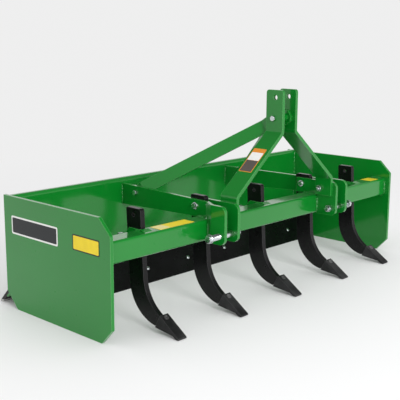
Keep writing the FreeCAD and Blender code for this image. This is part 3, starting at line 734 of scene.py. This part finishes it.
for i in range(EDGE_BOLTS):
    x = EDGE_BOLT_X + EDGE_BOLT_STEP * i
    front = Vector((x, *FRONT_EDGE_BOLT))
    lathe("front_edge_bolt_%d" % (i + 1), DOME, front, FRONT_EDGE_NORMAL, ZINC, segments=24)
    behind = front - FRONT_EDGE_NORMAL * FRONT_EDGE_GRIP
    hex_block("front_edge_nut_%d" % (i + 1), behind, -FRONT_EDGE_NORMAL, BOLT_ACROSS, 0.010, 0.2, both=True)
    back = Vector((x, *REAR_EDGE_BOLT))
    lathe("rear_edge_bolt_%d" % (i + 1), DOME, back, REAR_EDGE_NORMAL, ZINC, segments=24)


# Blank stickers

FILM_T = 0.0003
OVERLAY_T = 0.0005
# Two rimmed stickers on each end plate: size, height of the lower side, width of the
# rim, and where along the left (-1) and the right (1) plate the sticker starts
DARK_SIZE = (0.269, 0.066)
DARK_FOOT = 0.283
DARK_RIM = 0.006
DARK_START = {-1: 0.2685, 1: -0.0005}
YELLOW_SIZE = (0.1375, 0.054)
YELLOW_FOOT = 0.2885
YELLOW_RIM = 0.004
YELLOW_START = {-1: -0.0815, 1: -0.2190}


def rimmed(side, s, names, films, start, foot, size, rim, radii):
    """Blank sticker with a rim of another colour, on the outside of an end plate."""
    along = (0, s, 0)
    up = (0, 0, 1)
    x = s * PLATE_X
    width, height = size
    sticker(names[0] + side, (x, start, foot), along, up, width, height, films[0], FILM_T, radii[0])
    sticker(names[1] + side, (x, start + s * rim, foot + rim), along, up, width - 2 * rim, height - 2 * rim,
            films[1], OVERLAY_T, radii[1])


for side, s in (("left", -1), ("right", 1)):
    rimmed(side, s, ("film_side_edge_", "film_side_dark_"), ("white", "dark"), DARK_START[s], DARK_FOOT,
           DARK_SIZE, DARK_RIM, (0.006, 0.004))
    rimmed(side, s, ("film_rim_", "film_yellow_"), ("dark", "yellow"), YELLOW_START[s], YELLOW_FOOT,
           YELLOW_SIZE, YELLOW_RIM, (0.005, 0.004))

# Labels on top of the bar
ALONG_X = (1, 0, 0)
ALONG_Y = (0, 1, 0)
BAR_LABEL_Y = -0.2350
BAR_LABEL_DEPTH = 0.053
BAR_LABEL_RIM = 0.003
LEFT_LABEL_X = -0.586
RIGHT_LABEL_X = 0.722
sticker("film_bar_left", (LEFT_LABEL_X, BAR_LABEL_Y, BAR_TOP), ALONG_X, ALONG_Y, 0.166, BAR_LABEL_DEPTH,
        "yellow", FILM_T)
sticker("film_bar_left_pale", (LEFT_LABEL_X + BAR_LABEL_RIM, BAR_LABEL_Y + BAR_LABEL_RIM, BAR_TOP),
        ALONG_X, ALONG_Y, 0.048, BAR_LABEL_DEPTH - 2 * BAR_LABEL_RIM, "cream", OVERLAY_T)
sticker("film_bar_right", (RIGHT_LABEL_X, BAR_LABEL_Y, BAR_TOP), ALONG_X, ALONG_Y, 0.068, BAR_LABEL_DEPTH,
        "yellow", FILM_T)

# Label on the sloping part of the left mast strap, with a grey and a white field
STRAP_SLOPE = Vector((0.7698, 0, 0.6384))
STRAP_FOOT = Vector((-0.2965, -0.2485, 0.420))
ACROSS_STRAP = (0, -1, 0)
LABEL_RIM = 0.003
label = STRAP_FOOT + STRAP_SLOPE * 0.119
inset = Vector(ACROSS_STRAP) * LABEL_RIM
sticker("film_mast", label, ACROSS_STRAP, STRAP_SLOPE, 0.059, 0.117, "orange", FILM_T, 0.003)
sticker("film_mast_grey", label + STRAP_SLOPE * LABEL_RIM + inset, ACROSS_STRAP, STRAP_SLOPE, 0.053, 0.054,
        "grey", OVERLAY_T, 0.0015)
sticker("film_mast_white", label + STRAP_SLOPE * 0.058 + inset, ACROSS_STRAP, STRAP_SLOPE, 0.053, 0.039,
        "white", OVERLAY_T, 0.0015)


# Floor, light and camera

WHITE = 0.86
DIFFUSE_LIGHT = 0.92
CEILING_LIGHT = 0.16
# Distances from the part between which the lit floor passes into the background
FLOOR_NEAR = 1.1
FLOOR_FAR = 3.4
FLOOR_GLOW = 0.08
KEY_PLACE = (-1.6, -6.2, 2.7)
KEY_TARGET = (0, 0, 0.2)
KEY_SIZE = 3.0
KEY_POWER = 250
LENS = 72.735
CAMERA_PLACE = (-2.4133, -2.1508, 0.9824)
CAMERA_AZIMUTH = math.radians(-46.51)
CAMERA_HEIGHT = math.radians(11.57)
CAMERA_ROLL = math.radians(0.29)


def floor():
    """Pale floor that passes into the plain background far from the part."""
    bpy.ops.mesh.primitive_circle_add(vertices=96, radius=60, fill_type="NGON")
    obj = bpy.context.object
    obj.name = "floor"
    mat, tree, shader = new_material("floor_pale")
    shader.inputs["Base Color"].default_value = (0.87, 0.87, 0.875, 1)
    shader.inputs["Roughness"].default_value = 0.75
    shader.inputs["Specular IOR Level"].default_value = 0.2
    length = tree.nodes.new("ShaderNodeVectorMath")
    length.operation = "LENGTH"
    tree.links.new(object_coords(tree), length.inputs[0])
    far = ranged(tree, length.outputs["Value"], FLOOR_NEAR, FLOOR_FAR, FLOOR_GLOW, 1)
    glow = tree.nodes.new("ShaderNodeEmission")
    glow.inputs["Color"].default_value = (WHITE, WHITE, WHITE, 1)
    blend = tree.nodes.new("ShaderNodeMixShader")
    tree.links.new(far, blend.inputs[0])
    tree.links.new(shader.outputs[0], blend.inputs[1])
    tree.links.new(glow.outputs[0], blend.inputs[2])
    tree.links.new(blend.outputs[0], tree.nodes["Material Output"].inputs["Surface"])
    obj.data.materials.append(mat)


def clamped_sum(tree, first, second):
    add = tree.nodes.new("ShaderNodeMath")
    add.operation = "ADD"
    add.use_clamp = True
    tree.links.new(first, add.inputs[0])
    tree.links.new(second, add.inputs[1])
    return add.outputs[0]


def chosen(tree, factor, first, second):
    """Mix of two numbers; each is a plain value or a socket."""
    node = tree.nodes.new("ShaderNodeMix")
    tree.links.new(factor, node.inputs["Factor"])
    for socket, value in ((node.inputs[2], first), (node.inputs[3], second)):
        if isinstance(value, float):
            socket.default_value = value
        else:
            tree.links.new(value, socket)
    return node.outputs[0]


def world():
    """Plain background, which reflections see too, with a darker ceiling as in a studio."""
    scene_world = bpy.data.worlds.new("studio")
    bpy.context.scene.world = scene_world
    scene_world.use_nodes = True
    tree = scene_world.node_tree
    back = tree.nodes["Background"]
    back.inputs["Color"].default_value = (1, 1, 1, 1)
    paths = tree.nodes.new("ShaderNodeLightPath").outputs
    seen = clamped_sum(tree, paths["Is Camera Ray"], paths["Is Glossy Ray"])
    seen = clamped_sum(tree, seen, paths["Is Transmission Ray"])
    place = tree.nodes.new("ShaderNodeNewGeometry")
    parts = tree.nodes.new("ShaderNodeSeparateXYZ")
    tree.links.new(place.outputs["Position"], parts.inputs[0])
    ceiling = ranged(tree, parts.outputs["Z"], 0.27, 0.62, WHITE, CEILING_LIGHT)
    shown = chosen(tree, paths["Is Camera Ray"], ceiling, WHITE)
    tree.links.new(chosen(tree, seen, DIFFUSE_LIGHT, shown), back.inputs["Strength"])


def area(name, place, target, size, power):
    data = bpy.data.lights.new(name, "AREA")
    data.shape = "DISK"
    data.size = size
    data.energy = power
    lamp = bpy.data.objects.new(name, data)
    bpy.context.scene.collection.objects.link(lamp)
    lamp.location = place
    lamp.rotation_mode = "QUATERNION"
    lamp.rotation_quaternion = (Vector(target) - Vector(place)).to_track_quat("-Z", "Y")


def camera():
    """Camera that sees the part as the photograph does."""
    data = bpy.data.cameras.new("camera")
    data.sensor_width = 36
    data.lens = LENS
    data.clip_end = 200
    obj = bpy.data.objects.new("camera", data)
    bpy.context.scene.collection.objects.link(obj)
    flat = math.cos(CAMERA_HEIGHT)
    ahead = (-math.sin(CAMERA_AZIMUTH) * flat, math.cos(CAMERA_AZIMUTH) * flat)
    forward = Vector((*ahead, -math.sin(CAMERA_HEIGHT)))
    level = Vector((math.cos(CAMERA_AZIMUTH), math.sin(CAMERA_AZIMUTH), 0))
    upward = level.cross(forward)
    cam_x = level * math.cos(CAMERA_ROLL) + upward * math.sin(CAMERA_ROLL)
    cam_y = -level * math.sin(CAMERA_ROLL) + upward * math.cos(CAMERA_ROLL)
    turn = Matrix((cam_x, cam_y, -forward)).transposed().to_4x4()
    obj.matrix_world = Matrix.Translation(CAMERA_PLACE) @ turn
    bpy.context.scene.camera = obj


floor()
world()
area("key", KEY_PLACE, KEY_TARGET, KEY_SIZE, KEY_POWER)
camera()
bpy.context.scene.view_settings.view_transform = "Standard"
